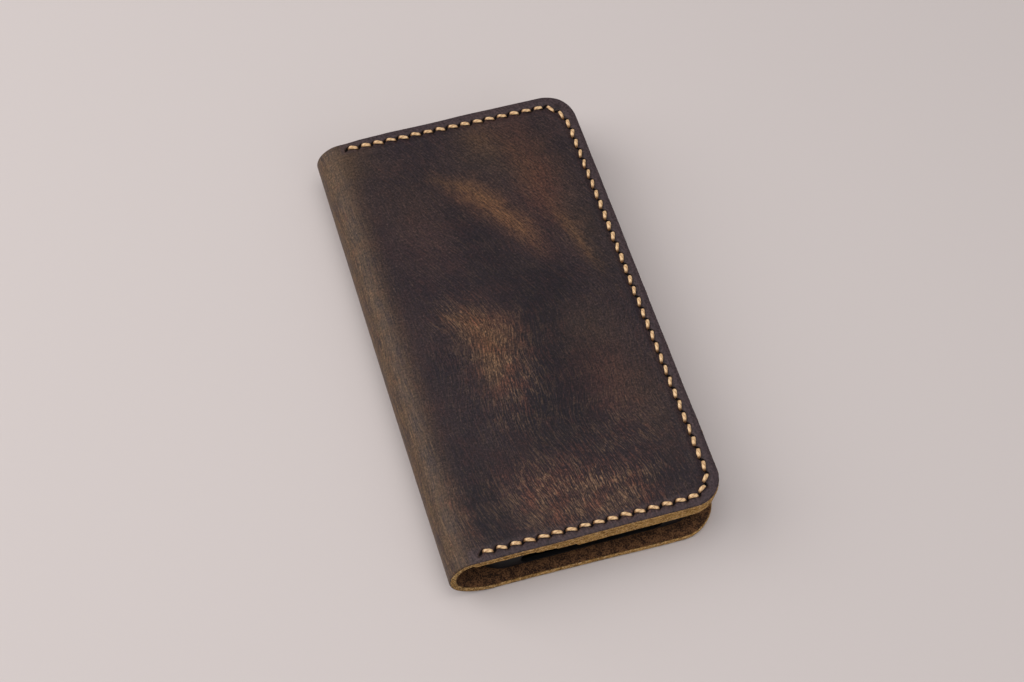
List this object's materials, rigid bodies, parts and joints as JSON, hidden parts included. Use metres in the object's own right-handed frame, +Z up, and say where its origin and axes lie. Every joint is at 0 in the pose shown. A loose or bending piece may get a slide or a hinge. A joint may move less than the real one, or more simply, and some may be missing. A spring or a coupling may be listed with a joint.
{
  "type": "phone wallet case",
  "caption": "Book-style leather phone wallet case: a stitched front cover with card slots folds round a soft spine onto a back cover holding a snap-in phone shell.",
  "frame": {"origin": "centre of the closed case's footprint, on the outside face of the back cover, which it lies on", "axes": "+X from the folded spine to the fore edge, +Y along the spine from the phone's charging end to its camera end, +Z up through the closed case to the front cover"},
  "size_m": [0.0816, 0.1492, 0.0183],
  "materials": {
    "oiled_leather": "dark brown pull-up leather, waxy, with tan scuffs and raw tan cut edges",
    "pocket_leather": "thin dark brown pull-up leather, raw tan cut edges",
    "waxed_thread": "waxed tan polyester thread",
    "foam_tape": "matte black double-sided foam tape",
    "black_polycarbonate": "fine satin black moulded shell"
  },
  "bodies": {
    "back": {"back_cover_leather": "oiled_leather", "shell_adhesive_pad": "foam_tape", "phone_shell": "black_polycarbonate"},
    "spine": {"spine_leather": "oiled_leather"},
    "front": {"front_cover_leather": "oiled_leather", "cash_pocket_panel": "pocket_leather", "card_slot_inner_panel": "pocket_leather", "card_slot_middle_panel": "pocket_leather", "card_slot_outer_panel": "pocket_leather", "border_stitching": "waxed_thread", "card_stitching_far": "waxed_thread", "card_stitching_near": "waxed_thread"}
  },
  "joints": [
    {"name": "spine_hinge", "type": "hinge", "parent": "back", "child": "spine", "pos_m": [-0.0376, 0, 0.0034], "axis": [0, -1, 0], "range_deg": [0, 90]},
    {"name": "cover_hinge", "type": "hinge", "parent": "spine", "child": "front", "pos_m": [-0.03828, 0, 0.01543], "axis": [0, -1, 0], "range_deg": [0, 90]}
  ],
  "couplings": [
    {"joint": "cover_hinge", "follows": "spine_hinge", "ratio": 1}
  ]
}
